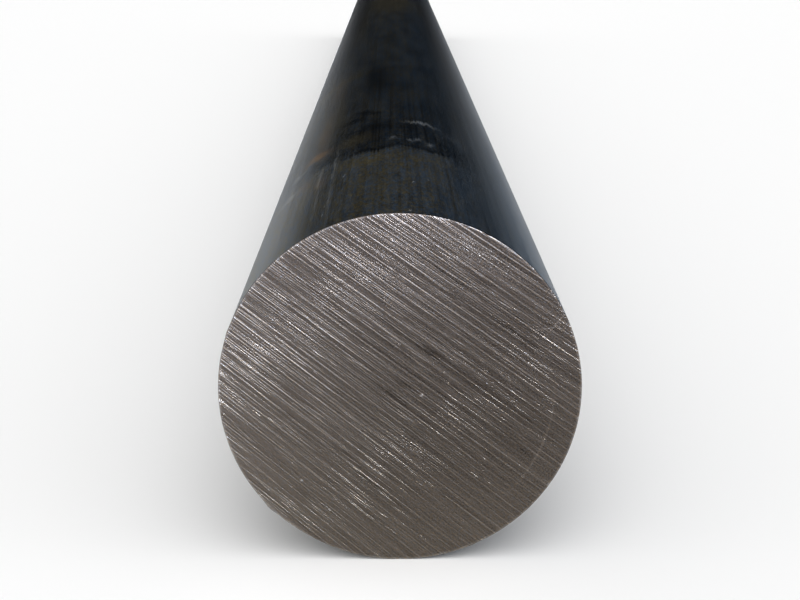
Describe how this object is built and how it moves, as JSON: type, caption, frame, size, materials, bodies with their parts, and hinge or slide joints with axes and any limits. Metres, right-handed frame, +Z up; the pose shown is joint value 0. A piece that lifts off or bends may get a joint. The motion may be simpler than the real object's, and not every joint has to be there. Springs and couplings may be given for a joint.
{
  "type": "round metal bar",
  "caption": "Solid round steel bar with a drawn outside and flat band-sawn ends, to be cut, turned, welded or used as a shaft.",
  "frame": {"origin": "centre of the front sawn face, on the axis of the bar", "axes": "+Y along the axis of the bar, from the front sawn face to the far one; +Z up, with the bar lying on a floor one radius below the origin; +X to the right when looking along +Y"},
  "size_m": [0.1016, 1.8288, 0.1014],
  "materials": {
    "steel": "satin"
  },
  "bodies": {
    "root": {"round_bar": "steel"}
  },
  "joints": []
}
